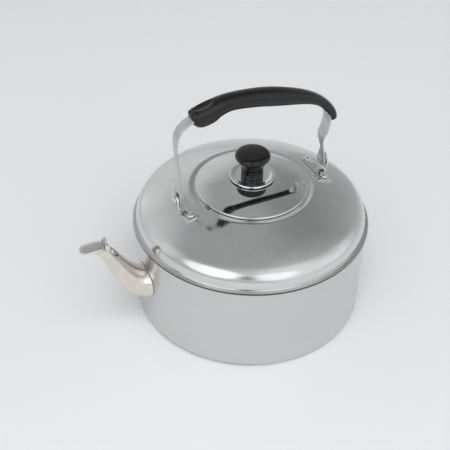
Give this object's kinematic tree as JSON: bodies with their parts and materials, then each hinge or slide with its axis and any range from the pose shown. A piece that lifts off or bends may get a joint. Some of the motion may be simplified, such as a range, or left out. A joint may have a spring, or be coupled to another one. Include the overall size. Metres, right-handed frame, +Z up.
{
  "type": "stovetop whistling kettle",
  "caption": "Wide steel stovetop kettle with a folding strap bail, black grip, lift-off lid and swan-neck spout with a hinged whistle flap.",
  "frame": {"origin": "centre of the flat base, where it rests on the hob", "axes": "+Z up along the kettle's own axis; -X towards the spout; the bail folds about X towards +Y or -Y"},
  "size_m": [0.304, 0.241, 0.2514],
  "materials": {
    "satin_steel": "satin",
    "polished_steel": "mirror polished",
    "satin_strap": "semi-polished",
    "nickelled_steel": "bright, slightly warm",
    "chromed_dish": "mirror",
    "brass": "plain",
    "black_phenolic": "semi-gloss moulded"
  },
  "bodies": {
    "kettle": {"body_shell": "satin_steel", "dome_shell": "polished_steel", "spout": "nickelled_steel", "flap_hinge_bracket": "nickelled_steel", "flap_hinge_pin": "nickelled_steel", "bracket_front": "polished_steel", "bracket_rear": "polished_steel", "bracket_rivet_front_left": "polished_steel", "bracket_rivet_front_right": "polished_steel", "bracket_rivet_rear_left": "polished_steel", "bracket_rivet_rear_right": "polished_steel", "pivot_rivet_front": "polished_steel", "pivot_rivet_rear": "polished_steel"},
    "bail": {"bail_strap": "satin_strap", "bail_grip": "black_phenolic", "pivot_washer_front": "polished_steel", "pivot_washer_rear": "polished_steel"},
    "lid": {"lid_shell": "polished_steel", "lid_skirt": "satin_steel", "knob_dish": "chromed_dish", "knob": "black_phenolic", "knob_insert": "brass", "knob_washer": "satin_steel", "knob_screw": "satin_steel"},
    "flap": {"whistle_flap": "nickelled_steel", "whistle_plate_lower": "brass", "whistle_plate_upper": "brass"}
  },
  "joints": [
    {"name": "bail_fold", "type": "hinge", "parent": "kettle", "child": "bail", "pos_m": [0, 0, 0.14701], "axis": [1, 0, 0], "range_deg": [-94, 94]},
    {"name": "lid_lift", "type": "slide", "parent": "kettle", "child": "lid", "axis": [0, 0, 1], "range_m": [0, 0.02]},
    {"name": "flap_open", "type": "hinge", "parent": "kettle", "child": "flap", "pos_m": [-0.15716, 0, 0.1192], "axis": [0, 1, 0], "range_deg": [0, 80]}
  ]
}
